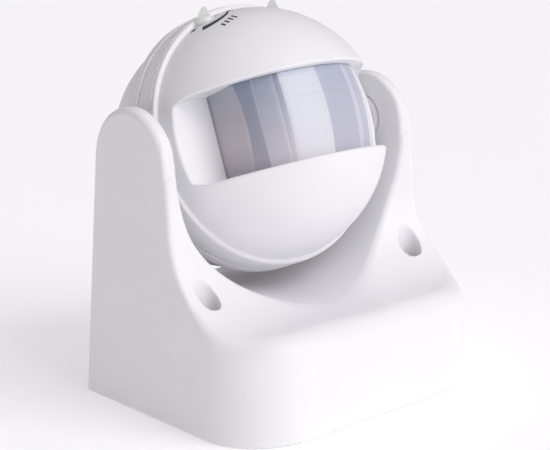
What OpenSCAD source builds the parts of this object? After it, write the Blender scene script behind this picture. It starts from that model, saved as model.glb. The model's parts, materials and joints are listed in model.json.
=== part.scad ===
// Wall and ceiling motion sensor: a ball head with a passive infrared lens,
// held between the two ears of a yoke-shaped base.
// Frame: +X from ear to ear, -Y the way the lens looks, +Z up from the mounting face.
// The origin is the centre of the mounting face.

/* [Base] */
// Width over the two ears
base_w = 80; // [76:1:86]
// Depth of the mounting face
base_d = 71; // [68:1:76]
// Radius of the two front corners
corner_r = 18; // [12:1:20]
// Height of the front block
seat_z = 25.6; // [24:0.2:27]
// Width of the gap between the ears
channel_w = 72; // [71.6:0.2:72.4]
// Radius of the hollow curve from the front block up to the ears
flare_r = 22; // [18:1:24]
// How far the front of the yoke falls back between the ears
dish_depth = 5; // [4:1:9]

/* [Head] */
// Height of the tilt axis
pivot_z = 64.5; // [64:0.25:65.5]
// Distance of the tilt axis behind the centre of the base
pivot_y = 7; // [6:0.5:8]
// Upward tilt of the head at rest
rest_tilt = 18.5; // [0:0.5:25]
// Radius of the front dome
head_r = 32.6; // [32:0.2:32.8]
// Half height of the lens recess
band_h = 10.5; // [9.5:0.25:10.75]
// Rise of the brow over the lens, millimetre for millimetre of its overhang
brow_rise = 0.042; // [0:0.002:0.05]

/* [Controls] */
// Distance of each knob from the middle of the head
knob_x = 10.95; // [10:0.25:11.5]
// Radius of the knob discs
knob_r = 2.9; // [2.7:0.1:3.1]
// How far both grips are turned from the line between the ears
knob_turn = -39; // [-90:1:90]

/* [Fixings] */
// Distance of each housing screw from the middle
screw_x = 33.2; // [32.8:0.1:33.4]
// Diameter of the screwdriver wells in the yoke
well_d = 5.8; // [5.6:0.1:6]
// Distance between the wall screw holes
wall_pitch = 50; // [44:1:52]
// Diameter of the wall screw holes
wall_hole_d = 4.6; // [4:0.2:5]
// Diameter of the cable bore in the grommet
cable_d = 8; // [6:0.5:9]

/* [Hidden] */
$fn = 96;
eps = 0.01;
far = 200;
wall = 2.5;
half_w = base_w / 2;
half_d = base_d / 2;
half_gap = channel_w / 2;

// Yoke: each ear ends in a round of radius ear_r about (ear_y, ear_z)
ear_y = pivot_y;
ear_z = 61.4;
ear_r = 15.6;
front_fillet = 5;
channel_z = seat_z + half_gap;
flare_z = seat_z + flare_r;
dish_r = (half_w * half_w + dish_depth * dish_depth) / (2 * dish_depth);
dish_axis_y = ear_y - ear_r + dish_depth - dish_r;

// Chamber for the terminals, and the plate that closes it
chamber_top = seat_z - wall;
chamber_inset = wall + 0.6;
ear_pocket_x = 30;
ear_pocket_y = 16;
ear_pocket_z = 34;
recess_inset = 1.2;
plate_t = 2.2;
plate_gap = 0.2;
seal_h = 1.6;
seal_inset = 1.4;
seal_w = 2.7;
ledge_z = plate_t + seal_h;
blind_floor = 0.8;
wall_hole_y = -1;

// Housing screws, which run down their wells into the plate
screw_y = -12.6;
well_r = well_d / 2;
well_floor = 11;
column_r = 4.7;
column_z = 8.6;
boss_r = 3.6;
housing_screw_r = 1.4;
housing_head_r = 2.7;
housing_head_h = 1.9;
cross_w = 0.5;

// Tilt pivot: a hollow stub on each side of the head in a bush in the ear
stub_r = 4.5;
stub_bore_r = 2.6;
stub_end = half_gap + 1.5;
stub_root = 25;
pad_root = 29;
bush_r = 6;
bush_bore_r = stub_r + 0.05;
bush_t = 1.6;
pocket_end = half_w - 1;
pad_r = 6.6;
pad_x = 34.4;
washer_r = 6.2;
duct_w = 4.8;
duct_x = -(half_gap + bush_t + pocket_end) / 2;

// Head shells; the head's own frame has its origin on the tilt axis
shell_t = 2;
seam_y = -2.9;
bead_r = 33.4;
bead_t = 1;
bezel_y = -9.2;
band_r = 33.8;
band_y = 3.2;
groove_w = 0.6;
groove_r = 33.3;
rib_r = 34;
rib_y = 7.2;
tube_r = 32.9;
tube_y = 16.8;
cap_r = 35.6;
cap_y = 2.9;

// Lens tray, its flange and the frame that holds it
lens_r = 29.5;
lens_t = 0.8;
lens_half_w = 19.3;
lens_gap = 0.2;
lens_half_h = band_h - lens_gap;
flange_t = 1;
flange_w = 22;
flange_h = 12.4;
frame_w = 23.5;
frame_h = 13.5;
frame_t = 2;
bezel_back = bezel_y + shell_t;

// Knobs stand in wells on top of the head, each over its trimmer
knob_y = -4.3;
knob_floor = 28.2;
knob_well_r = knob_r + 0.4;
knob_boss_r = 4.6;
knob_boss_z = 25.6;
knob_seal_t = 0.7;
knob_disc_t = 1.9;
knob_grip_h = 2.9;
knob_grip_t = 1.3;
knob_grip_w = 4;
knob_tip = [0.3, 1.4];
shaft_r = 1.5;
shaft_bore_r = shaft_r + 0.08;
shaft_z = 19.8;
trimmer_w = 9.5;
trimmer_top = 24;
trimmer_z = 14.2;

// Circuit board, square to the way the head looks, and its three posts
board_t = 1.6;
board_r = 27;
posts = [[-20.5, 9], [20.5, 9], [0, -21.5]];
pin_pitch = 2.54;
post_r = 2.8;
post_bore_r = 1.25;
post_screw_r = 1.15;
shell_screws_at = [[-18.5, -20], [18.5, -20], [0, 26.6]];
shell_boss_r = 2.9;
shell_boss_front = -16;
shell_screw_r = 1.15;
shell_head_r = 2.4;
shell_screw_seat = 12;
pilot_front = -12;

// Infrared sensor on its spacer, in front of the board
pir_stand = 2;
pir_rim_r = 4.9;
pir_can_r = 4.1;
pir_front = -board_t - 6;

// Terminal block
term_y = -11;
term_l = 32;
term_w = 14;
term_z = 5;
term_h = 12;
term_pitch = 10;
clamp_z = 10.4;
clamp_r = 2.4;
clamp_bore_r = 1.4;
clamp_l = 12;
clamp_screw_y = 3.6;
term_post_w = 8.8;
term_boss_r = 2.6;
term_screw_r = 1;
term_head_r = 1.5;
term_head_z = 14;
term_head_h = 1.6;
term_fix_r = 1;
term_fix_head_r = 1.9;

// Cable entry
entry_y = 17;
entry_r = cable_d / 2 + 3;
grommet_lip_h = 1.4;
grommet_lip_w = 1.8;

// Internal lead of three cores
core_r = 0.6;
core_gap = 1.35;
plug_x = -22.5;
plug_y = 3;

// ---------- helpers ----------

module at_head() {
  translate([0, pivot_y, pivot_z]) rotate([-rest_tilt, 0, 0]) children();
}

module along_y(y0, y1, r) {
  translate([0, y0, 0]) rotate([-90, 0, 0]) cylinder(h = y1 - y0, r = r);
}

module along_x(x0, x1, r) {
  translate([x0, 0, 0]) rotate([0, 90, 0]) cylinder(h = x1 - x0, r = r);
}

module block(x0, x1, y0, y1, z0, z1) {
  translate([x0, y0, z0]) cube([x1 - x0, y1 - y0, z1 - z0]);
}

module both_sides() {
  children();
  mirror([1, 0, 0]) children();
}

// Outline of the base inset by g, with round front corners and square back ones
module footprint(g) {
  r = corner_r - g;
  for (s = [-1, 1]) translate([s * (half_w - corner_r), corner_r - half_d]) circle(r = r);
  translate([corner_r - half_w, g - half_d]) square([base_w - 2 * corner_r, base_d - 2 * g]);
  translate([g - half_w, corner_r - half_d]) square([base_w - 2 * g, base_d - corner_r - g]);
}

// ---------- base ----------

// Side outline: front block with a rounded edge, leaning back, round ears
module side_outline() {
  back_len = sqrt(pow(half_d - ear_y, 2) + ear_z * ear_z - ear_r * ear_r);
  lean = atan2(half_d - ear_y, ear_z) - atan2(ear_r, back_len);
  ear_back = [ear_y + ear_r * cos(lean), ear_z + ear_r * sin(lean)];
  polygon([[-half_d, 0], [half_d, 0], ear_back, [ear_y, ear_z], [ear_y - ear_r, ear_z],
           [front_fillet - half_d, seat_z + flare_r], [front_fillet - half_d, seat_z],
           [front_fillet - half_d, seat_z - front_fillet], [-half_d, seat_z - front_fillet]]);
  translate([ear_y, ear_z]) circle(r = ear_r);
  translate([front_fillet - half_d, seat_z - front_fillet]) circle(r = front_fillet);
}

// Room in front of the ears: a flared step turned about an upright axis in front
module front_scoop() {
  reach = dish_r - flare_r;
  translate([0, dish_axis_y, 0]) rotate_extrude($fn = 360) {
    translate([0, seat_z]) square([reach, far]);
    translate([reach - eps, flare_z]) square([flare_r + eps, far]);
    intersection() {
      translate([reach, flare_z]) circle(r = flare_r);
      translate([reach - eps, seat_z]) square([flare_r + eps, flare_r + eps]);
    }
  }
}

// Gap for the head, open to the front, the back and the top
module head_channel() {
  translate([0, 0, channel_z]) along_y(-far, far, half_gap);
  block(-half_gap, half_gap, -far, far, channel_z, far);
}

module side_prism() {
  rotate([90, 0, 90]) translate([0, 0, -half_w]) linear_extrude(height = base_w) side_outline();
}

module yoke_outside() {
  difference() {
    intersection() {
      linear_extrude(height = far) footprint(0);
      side_prism();
    }
    front_scoop();
    head_channel();
  }
}

// Space under the seat, with a pocket up into the foot of each ear
module terminal_chamber() {
  translate([0, 0, -eps]) linear_extrude(height = ledge_z + eps) footprint(recess_inset);
  intersection() {
    linear_extrude(height = chamber_top) footprint(chamber_inset);
    translate([0, -wall, 0]) side_prism();
  }
  both_sides() block(ear_pocket_x, half_w - chamber_inset, 0, ear_pocket_y, chamber_top - 1, ear_pocket_z);
}

module base_housing() color([0.95, 0.95, 0.96]) difference() {
  union() {
    difference() {
      yoke_outside();
      terminal_chamber();
    }
    intersection() {
      both_sides() translate([screw_x, screw_y, column_z]) cylinder(h = far, r = column_r);
      yoke_outside();
    }
  }
  both_sides() translate([screw_x, screw_y, 0]) {
    translate([0, 0, well_floor]) cylinder(h = far, r = well_r);
    cylinder(h = well_floor + 1, r = housing_screw_r + 0.3);
  }
  translate([0, pivot_y, pivot_z]) both_sides() {
    along_x(pad_x, half_gap, pad_r);
    along_x(half_gap - eps, pocket_end, bush_r);
  }
  translate([0, pivot_y - duct_w / 2, 0]) {
    block(-pocket_end, -half_gap - bush_t, 0, duct_w, clamp_z, pivot_z);
    block(-pocket_end, wall - half_w + 1, 0, duct_w, clamp_z - duct_w / 2, clamp_z + duct_w / 2);
  }
}

module mounting_plate() color([0.9, 0.9, 0.91]) difference() {
  union() {
    linear_extrude(height = plate_t) footprint(recess_inset + plate_gap);
    both_sides() translate([screw_x, screw_y, 0]) cylinder(h = column_z - 0.1, r = boss_r);
    for (s = [-1, 1]) translate([s * term_pitch / 2, term_y, 0]) cylinder(h = term_z, r = term_boss_r);
  }
  both_sides() translate([screw_x, screw_y, blind_floor]) cylinder(h = far, r = housing_screw_r + 0.1);
  both_sides() translate([wall_pitch / 2, wall_hole_y, -eps]) cylinder(h = far, r = wall_hole_d / 2);
  for (s = [-1, 1]) translate([s * term_pitch / 2, term_y, blind_floor])
    cylinder(h = far, r = term_fix_r + 0.1);
  translate([0, entry_y, -eps]) cylinder(h = far, r = entry_r);
}

// Soft ring squeezed between the rim of the plate and the ledge in the housing
module base_seal() color([0.25, 0.25, 0.27]) translate([0, 0, plate_t]) linear_extrude(height = seal_h)
  difference() {
    footprint(seal_inset);
    footprint(seal_inset + seal_w);
    for (s = [-1, 1]) translate([s * screw_x, screw_y]) circle(r = boss_r + 0.4);
  }

module cable_grommet() color([0.2, 0.2, 0.22]) translate([0, entry_y, 0]) difference() {
  union() {
    cylinder(h = plate_t, r = entry_r);
    translate([0, 0, plate_t]) cylinder(h = grommet_lip_h, r = entry_r + grommet_lip_w);
  }
  translate([0, 0, -eps]) cylinder(h = far, r = cable_d / 2);
}

// Pan-head screw standing on its tip: shank from z0, head of height hh on top with a cross in it
module pan_screw(z0, z1, r, head_r, hh) {
  arm = 0.55 * head_r;
  depth = 0.55 * hh;
  difference() {
    union() {
      translate([0, 0, z0]) cylinder(h = z1 - z0, r = r);
      translate([0, 0, z1]) cylinder(h = hh, r = head_r);
    }
    for (a = [0, 90]) rotate(a)
      block(-arm, arm, -cross_w / 2, cross_w / 2, z1 + hh - depth, z1 + hh + 1);
  }
}

module housing_screws() color("silver") both_sides() translate([screw_x, screw_y, 0])
  pan_screw(1.2, well_floor, housing_screw_r, housing_head_r, housing_head_h);

module terminal_block() color([0.93, 0.93, 0.9]) difference() {
  translate([0, term_y, 0]) {
    block(-term_l / 2, term_l / 2, -term_w / 2, term_w / 2, term_z, clamp_z);
    for (i = [-1 : 1]) translate([i * term_pitch, 0, 0])
      block(-term_post_w / 2, term_post_w / 2, 1 - term_w / 2, term_w / 2 - 1, term_z, term_z + term_h);
  }
  for (i = [-1 : 1]) translate([i * term_pitch, term_y, clamp_z]) {
    along_y(-term_w, term_w, clamp_r + 0.05);
    for (s = [-1, 1]) translate([0, s * clamp_screw_y, 0]) cylinder(h = far, r = term_head_r + 0.2);
  }
  for (s = [-1, 1]) translate([s * term_pitch / 2, term_y, 0]) {
    cylinder(h = far, r = term_fix_r + 0.6);
    translate([0, 0, clamp_z]) cylinder(h = far, r = term_fix_head_r + 0.2);
  }
}

// Brass tube in each pole, drilled through for the two cores that meet in it
module terminal_clamps() color("goldenrod") for (i = [-1 : 1])
  translate([i * term_pitch, term_y, clamp_z]) difference() {
    along_y(-clamp_l / 2, clamp_l / 2, clamp_r);
    along_y(-clamp_l, clamp_l, clamp_bore_r);
    for (s = [-1, 1]) translate([0, s * clamp_screw_y, 0]) cylinder(h = far, r = term_screw_r + 0.1);
  }

module terminal_screws() color("silver") for (i = [-1 : 1], s = [-1, 1])
  translate([i * term_pitch, term_y + s * clamp_screw_y, 0]) difference() {
    union() {
      translate([0, 0, clamp_z + core_r]) cylinder(h = term_head_z - clamp_z - core_r, r = term_screw_r);
      translate([0, 0, term_head_z]) cylinder(h = term_head_h, r = term_head_r);
    }
    block(-2, 2, -0.2, 0.2, term_head_z + 1, term_head_z + 3);
  }

module terminal_fixing_screws() color("silver") for (s = [-1, 1])
  translate([s * term_pitch / 2, term_y, 0]) pan_screw(1.6, clamp_z, term_fix_r, term_fix_head_r, 1.2);

module pivot_bushes() color([0.85, 0.85, 0.83]) translate([0, pivot_y, pivot_z]) both_sides()
  difference() {
    along_x(half_gap, half_gap + bush_t, bush_r);
    along_x(half_gap - 1, half_gap + bush_t + 1, bush_bore_r);
  }

// Three cores down the duct in the ear and along the chamber into the terminals
module lower_lead() color([0.5, 0.15, 0.12]) for (i = [-1 : 1]) {
  y = pivot_y + i * core_gap;
  end_x = i * term_pitch;
  translate([duct_x, y, clamp_z]) cylinder(h = pivot_z - clamp_z - stub_r - 0.5, r = core_r, $fn = 24);
  translate([duct_x, y, clamp_z]) sphere(r = core_r, $fn = 24);
  translate([0, y, clamp_z]) along_x(duct_x, end_x, core_r, $fn = 24);
  translate([end_x, y, clamp_z]) sphere(r = core_r, $fn = 24);
  translate([end_x, 0, clamp_z]) along_y(term_y + 2.6, y, core_r, $fn = 24);
}

// ---------- head shells, drawn in the head's own frame ----------

module front_half() {
  block(-far, far, -far, seam_y, -far, far);
}

module rear_half() {
  block(-far, far, seam_y, far, -far, far);
}

// Everything in front of y1 between a level floor at -h and a ceiling that rises to the front from h
module brow_wedge(half_x, y1, h) {
  reach = 60;
  rotate([90, 0, 90]) translate([0, 0, -half_x]) linear_extrude(height = 2 * half_x)
    polygon([[y1, -h], [y1, h], [-reach, h + brow_rise * (reach + y1)], [-reach, -h]]);
}

// Solid shape of the dome with the recess for the lens cut across it
module dome_outside() {
  difference() {
    sphere(r = head_r, $fn = 180);
    brow_wedge(far, bezel_y, band_h);
  }
}

module dome_inside() {
  difference() {
    sphere(r = head_r - shell_t, $fn = 180);
    brow_wedge(far, bezel_back, band_h + shell_t);
  }
}

// Tube and deep round end of the rear shell, g smaller all round
module cap_outside(g) {
  along_y(seam_y - 1, tube_y, tube_r - g, $fn = 180);
  intersection() {
    translate([0, cap_y, 0]) sphere(r = cap_r - g, $fn = 180);
    block(-far, far, tube_y - eps, far, -far, far);
  }
}

// Two wide rings round the mouth of the rear shell, with a groove between them
module mouth_rings() {
  difference() {
    union() {
      along_y(seam_y, band_y, band_r, $fn = 180);
      along_y(seam_y, band_y + groove_w + eps, groove_r, $fn = 180);
      along_y(band_y + groove_w, rib_y, rib_r, $fn = 180);
    }
    along_y(seam_y - 1, rib_y + 1, tube_r - shell_t, $fn = 180);
  }
}

module knob_places() {
  for (s = [-1, 1]) translate([s * knob_x, knob_y, 0]) children();
}

// Thickened skin under each knob, which the seam divides between the shells
module knob_bosses() {
  intersection() {
    knob_places() translate([0, 0, knob_boss_z]) cylinder(h = 20, r = knob_boss_r);
    sphere(r = head_r, $fn = 180);
  }
}

module knob_wells() {
  knob_places() {
    translate([0, 0, knob_floor]) cylinder(h = 20, r = knob_well_r);
    cylinder(h = 60, r = shaft_bore_r + 0.2);
  }
}

module shell_screw_places() {
  for (p = shell_screws_at) translate([p[0], 0, p[1]]) children();
}

module head_front_shell() color([0.95, 0.95, 0.96]) at_head() difference() {
  union() {
    intersection() {
      difference() {
        dome_outside();
        dome_inside();
      }
      front_half();
    }
    difference() {
      along_y(seam_y - bead_t, seam_y, bead_r, $fn = 180);
      along_y(seam_y - bead_t - 1, seam_y + 1, head_r - shell_t, $fn = 180);
    }
    intersection() {
      knob_bosses();
      front_half();
    }
    intersection() {
      shell_screw_places() along_y(shell_boss_front, seam_y, shell_boss_r);
      sphere(r = head_r - 1);
      front_half();
    }
  }
  block(-lens_half_w - 0.1, lens_half_w + 0.1, -far, seam_y - 1, -band_h, band_h);
  knob_wells();
  shell_screw_places() along_y(pilot_front, 0, shell_screw_r + 0.15);
  both_sides() along_x(stub_root, stub_end, stub_r + 0.1);
}

module head_rear_shell() color([0.94, 0.94, 0.95]) at_head() difference() {
  union() {
    intersection() {
      difference() {
        cap_outside(0);
        cap_outside(shell_t);
      }
      rear_half();
    }
    mouth_rings();
    intersection() {
      union() {
        shell_screw_places() along_y(seam_y, far, shell_boss_r + 1.2);
        for (p = posts) translate([p[0], 0, p[1]]) along_y(0, far, post_r);
      }
      cap_outside(0.5);
      rear_half();
    }
    intersection() {
      knob_bosses();
      rear_half();
    }
    intersection() {
      both_sides() along_x(pad_root, pad_x, pad_r);
      rear_half();
    }
    both_sides() along_x(pad_root, stub_end, stub_r);
  }
  both_sides() along_x(stub_root, stub_end + 1, stub_bore_r);
  knob_wells();
  shell_screw_places() {
    along_y(shell_screw_seat, far, shell_boss_r);
    along_y(-5, shell_screw_seat + 1, shell_screw_r + 0.35);
  }
  for (p = posts) translate([p[0], 0, p[1]]) along_y(-1, 10, post_bore_r);
  difference() {
    along_y(-board_t, 0.2, board_r + 0.3);
    along_y(-board_t - 1, 1, 5);
  }
}

module shell_screws() color("silver") at_head() shell_screw_places()
  rotate([-90, 0, 0]) pan_screw(-10, shell_screw_seat, shell_screw_r, shell_head_r, 1.6);

module friction_washers() color([0.35, 0.35, 0.38]) at_head() both_sides() difference() {
  along_x(pad_x, half_gap - 0.05, washer_r);
  along_x(pad_x - 1, half_gap + 1, stub_r + 0.05);
}

// ---------- lens ----------

// Domed front of the lens with straight sides running back to the flange
module lens_solid(g) {
  intersection() {
    sphere(r = lens_r - g, $fn = 180);
    brow_wedge(lens_half_w - g, bezel_back + eps, lens_half_h - g);
  }
}

module fresnel_lens() color([0.82, 0.86, 0.95, 0.7]) at_head() difference() {
  union() {
    lens_solid(0);
    block(-flange_w, flange_w, bezel_back, bezel_back + flange_t, -flange_h, flange_h);
  }
  lens_solid(lens_t);
  block(lens_t - lens_half_w, lens_half_w - lens_t, bezel_back - 1, 0,
        lens_t - lens_half_h, lens_half_h - lens_t);
}

module lens_frame() color([0.9, 0.9, 0.9]) at_head() {
  y0 = bezel_back + flange_t;
  difference() {
    block(-frame_w, frame_w, y0, y0 + frame_t, -frame_h, frame_h);
    block(-lens_half_w + 1.2, lens_half_w - 1.2, y0 - 1, y0 + 5, -lens_half_h + 0.9, lens_half_h - 0.9);
  }
}

// ---------- knobs ----------

module knob_seals() color([0.2, 0.2, 0.2]) at_head() knob_places() translate([0, 0, knob_floor])
  difference() {
    cylinder(h = knob_seal_t, r = knob_r - 0.6);
    translate([0, 0, -1]) cylinder(h = 3, r = shaft_r + 0.1);
  }

// Disc with a tapered fin across it, turning a shaft that fits the trimmer
module knob() {
  z0 = knob_floor + knob_seal_t;
  z1 = z0 + knob_disc_t;
  half = knob_grip_w / 2;
  translate([0, 0, shaft_z]) cylinder(h = z1 - shaft_z, r = shaft_r);
  translate([0, 0, z0]) cylinder(h = knob_disc_t, r = knob_r);
  rotate(knob_turn) rotate([90, 0, 0]) translate([0, 0, -knob_grip_t / 2])
    linear_extrude(height = knob_grip_t)
      polygon([[-half, z0 + eps], [half, z0 + eps], [half, z1], [knob_tip[1], z1 + knob_grip_h],
               [knob_tip[0], z1 + knob_grip_h], [-half, z1]]);
}

module lux_knob() color([0.92, 0.92, 0.88]) at_head() translate([-knob_x, knob_y, 0]) knob();

module time_knob() color([0.92, 0.92, 0.88]) at_head() translate([knob_x, knob_y, 0]) knob();

module trimmer() {
  difference() {
    block(-trimmer_w / 2, trimmer_w / 2, knob_y - 2.7, -board_t, trimmer_z, trimmer_top);
    translate([0, knob_y, shaft_z - 0.3]) cylinder(h = 20, r = shaft_bore_r);
  }
}

module lux_trimmer() color([0.15, 0.3, 0.6]) at_head() translate([-knob_x, 0, 0]) trimmer();

module time_trimmer() color([0.15, 0.3, 0.6]) at_head() translate([knob_x, 0, 0]) trimmer();

// ---------- electronics, all on the board ----------

module circuit_board() color([0.75, 0.6, 0.3]) at_head() difference() {
  along_y(-board_t, 0, board_r);
  for (p = posts) translate([p[0], 0, p[1]]) along_y(-5, 5, post_screw_r + 0.3);
  shell_screw_places() along_y(-5, 5, shell_boss_r + 1.6);
}

module board_screws() color("silver") at_head() for (p = posts)
  translate([p[0], 0, p[1]]) rotate([90, 0, 0]) pan_screw(-8, board_t, post_screw_r, 2.2, 1.5);

module pir_spacer() color([0.92, 0.92, 0.92]) at_head() difference() {
  along_y(-board_t - pir_stand, -board_t, 5);
  along_y(-board_t - pir_stand - 1, 0, 2);
}

// Opening in the face of the sensor's can, reaching g in front of it
module pir_opening(g) {
  block(-2, 2, pir_front - g, pir_front + 0.5, -1.5, 1.5);
}

module pir_sensor() color("silver") at_head() {
  along_y(-board_t - pir_stand - 0.6, -board_t - pir_stand, pir_rim_r);
  difference() {
    along_y(pir_front, -board_t - pir_stand - 0.5, pir_can_r);
    pir_opening(1);
  }
}

module pir_window() color([0.12, 0.1, 0.12]) at_head() pir_opening(0);

module light_cell() color([0.8, 0.45, 0.2]) at_head() translate([-12, 0, -5]) {
  along_y(-board_t - 4, -board_t - 2, 2.5);
  for (s = [-1, 1]) translate([s * 1.3, 0, 0]) along_y(-board_t - 2, -board_t, 0.3);
}

module status_led() color([0.85, 0.1, 0.1]) at_head() translate([11, 0, -6]) {
  along_y(-board_t - 1, -board_t, 1.9);
  along_y(-board_t - 4, -board_t - 1, 1.5);
  translate([0, -board_t - 4, 0]) sphere(r = 1.5);
}

module relay() color([0.1, 0.25, 0.5]) at_head() difference() {
  block(-9.5, 9.5, 0, 15.4, -7.8, 7.8);
  block(-7.5, 7.5, 15, 16, -0.4, 0.4);
}

module film_capacitor() color([0.85, 0.75, 0.2]) at_head() block(-8, 10, 0, 14.5, 10, 18.5);

module electrolytic_capacitors() color([0.12, 0.12, 0.2]) at_head() {
  translate([-15, 0, -8]) along_y(0, 12, 4);
  translate([15.5, 0, -3]) along_y(0, 11, 3.15);
}

module control_chip() color([0.1, 0.1, 0.1]) at_head() {
  block(-8.5, 8.5, 0.8, 4, -17.6, -11.4);
  for (i = [-3 : 3], z = [-18.1, -11.4]) translate([i * pin_pitch, 0, z])
    block(-0.25, 0.25, 0, 2.4, 0, 0.5);
}

module voltage_regulator() color([0.1, 0.1, 0.1]) at_head() translate([-15, 0, 17]) {
  block(-2.4, 2.4, 3, 8, -1.8, 1.8);
  for (i = [-1 : 1]) translate([i * pin_pitch / 2, 0, 0]) block(-0.25, 0.25, 0, 3, -0.2, 0.2);
}

// Axial part of length l lying along Z above the board, on two bent legs
module axial(x, z, l, r) {
  leg = 0.3;
  lift = 2 * leg;
  translate([x, r + lift, z]) {
    translate([0, 0, -l / 2]) cylinder(h = l, r = r, $fn = 32);
    for (s = [-1, 1]) translate([0, 0, s * (l / 2 + lift)]) {
      block(-leg, leg, -r - lift, leg, -leg, leg);
      translate([0, 0, -s * lift]) block(-leg, leg, -leg, leg, -lift, lift);
    }
  }
}

module rectifier_diodes() color([0.1, 0.1, 0.1]) at_head() for (i = [0 : 1]) {
  axial(20 + i * 3.4, -5 + i, 5, 1.3);
}

module resistors() color([0.75, 0.65, 0.5]) at_head() {
  for (x = [-22.6, -20.4]) axial(x, -8.3, 5, 0.95);
  axial(14, -10.6, 5, 0.95);
}

module surge_varistor() color([0.2, 0.4, 0.65]) at_head() {
  translate([17, 0, 15]) {
    translate([0, 6.5, 0]) along_x(-1.6, 1.6, 3.6);
    for (s = [-1, 1]) translate([0, 0, s * 2]) block(-0.3, 0.3, 0, 4, -0.3, 0.3);
  }
}

// Plug for the three cores behind the board, level with the tilt axis
module lead_plug() color([0.95, 0.95, 0.93]) at_head()
  block(plug_x, plug_x + 5, 0, 6, -3.2, 3.2);

// Three cores in through the hollow stub on the left and round the board to the plug
module upper_lead() color([0.5, 0.15, 0.12]) at_head() for (i = [-1 : 1]) {
  bend_x = -board_r - 1;
  translate([0, 0, i * core_gap]) {
    along_x(duct_x, bend_x, core_r, $fn = 24);
    translate([bend_x, 0, 0]) sphere(r = core_r, $fn = 24);
    translate([bend_x, 0, 0]) along_y(0, plug_y, core_r, $fn = 24);
    translate([bend_x, plug_y, 0]) sphere(r = core_r, $fn = 24);
    translate([0, plug_y, 0]) along_x(bend_x, plug_x, core_r, $fn = 24);
  }
}

// ---------- drawing ----------

base_housing();
mounting_plate();
base_seal();
cable_grommet();
housing_screws();
terminal_block();
terminal_clamps();
terminal_screws();
terminal_fixing_screws();
pivot_bushes();
lower_lead();
head_front_shell();
head_rear_shell();
shell_screws();
friction_washers();
fresnel_lens();
lens_frame();
knob_seals();
circuit_board();
board_screws();
pir_spacer();
pir_sensor();
pir_window();
light_cell();
status_led();
relay();
film_capacitor();
electrolytic_capacitors();
control_chip();
voltage_regulator();
rectifier_diodes();
resistors();
surge_varistor();
lux_trimmer();
time_trimmer();
lead_plug();
upper_lead();
lux_knob();
time_knob();
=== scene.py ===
"""Looks for the motion sensor: a white ball head with a faceted window in a yoke-shaped base.

The casings are modelled here as smooth closed shells with moulded edges. They stand for the CAD casings
and lie in the same places. Lengths in the modelling code are millimetres; meshes are made in metres.
"""

import json
import math

import bpy
import numpy as np
from mathutils import Matrix, Vector


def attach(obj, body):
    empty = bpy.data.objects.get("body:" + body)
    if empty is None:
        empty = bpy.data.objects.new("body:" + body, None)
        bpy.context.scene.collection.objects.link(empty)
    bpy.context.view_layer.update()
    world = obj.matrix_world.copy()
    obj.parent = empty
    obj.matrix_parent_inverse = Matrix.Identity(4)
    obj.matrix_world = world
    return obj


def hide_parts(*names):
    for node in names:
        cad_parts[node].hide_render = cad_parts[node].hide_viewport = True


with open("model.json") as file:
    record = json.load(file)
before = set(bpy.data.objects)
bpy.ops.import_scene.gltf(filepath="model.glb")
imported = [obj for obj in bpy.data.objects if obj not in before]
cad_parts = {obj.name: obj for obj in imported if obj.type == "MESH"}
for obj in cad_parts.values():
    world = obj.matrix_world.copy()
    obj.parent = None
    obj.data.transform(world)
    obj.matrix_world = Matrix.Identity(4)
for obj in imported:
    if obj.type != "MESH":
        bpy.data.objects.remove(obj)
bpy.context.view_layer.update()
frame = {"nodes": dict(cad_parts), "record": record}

MM = 0.001
MICRON = 0.000001

# ---------- driving dimensions, in millimetres ----------

# Yoke: outline, dished front, ears, and the round channel between them
HALF_W, HALF_D = 40.0, 35.5
CORNER_R = 18.0
SEAT_Z = 25.6
FLARE_R = 22.0
DISH = 5.0
EAR_Y, EAR_Z, EAR_R = 7.0, 61.4, 15.6
HALF_GAP = 36.0
CHANNEL_Z = SEAT_Z + HALF_GAP
PIVOT = (0.0, 7.0, 64.5)
TILT = 18.5

# Yoke: rounding of its edges; the rim grows rounder from the ears to the front
EAR_EDGE, FRONT_EDGE = 1.7, 5.0
EDGE_FROM_Y, EDGE_TO_Y = -12.0, -30.0
SEAT_EDGE, CHANNEL_EDGE, BACK_EDGE, WELL_EDGE, FOOT_EDGE = 2.0, 1.1, 0.8, 0.4, 0.35

# Yoke: screwdriver wells, the columns round them, and the chamber that is open below
WELL_X, WELL_Y, WELL_R, WELL_Z = 33.2, -12.6, 2.9, 11.0
COLUMN_R, COLUMN_Z = 4.7, 8.6
BASE_WALL, BACK_WALL, CHAMBER_Z = 3.1, 2.5, 23.1
LEDGE_WALL, LEDGE_Z = 1.4, 3.8

# Pivot: bush pocket in the ear, pad and hollow stub on the head
BUSH_R, BUSH_X = 6.0, 38.3
PAD_R, PAD_X = 6.6, 34.4
STUB_R, STUB_X, STUB_BORE_R = 4.5, 37.5, 2.6
STUB_ROOT_X, STUB_BORE_X = 30.0, 25.0

# Front of the head: ball, lens slot between brow and jaw
HEAD_R = 32.6
SHELL_T = 2.0
SEAM_Y = -2.9
BEZEL_Y = -9.2
BAND_H = 10.5
BROW_RISE = 0.042
SLOT_END_R, SLOT_FOOT_R, LIP_R = 2.6, 0.4, 0.7
HOLE_EDGE = 0.3

# Back of the head: band, groove, rib and round cup, then the wells of its three screws
BAND_R, GROOVE_R, RIB_R, TUBE_R = 33.8, 33.3, 34.0, 32.9
BAND_Y, RIB_FRONT, RIB_Y = 3.2, 3.8, 7.2
CAP_R, CAP_Y = 35.6, 2.9
CUP_EDGE, RIB_EDGE, RING_EDGE, CUP_FILLET = 5.0, 0.5, 0.25, 0.4
CUP_FRONT = -5.0
SCREW_X, SCREW_LOW_Z, SCREW_TOP_Z = 18.5, -20.0, 26.6
SCREW_WELL_R, SCREW_WELL_Y, SCREW_WELL_EDGE = 2.9, 12.0, 0.5
SCREW_BOSS_R, SCREW_BOSS_Y = 4.1, 9.0

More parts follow.
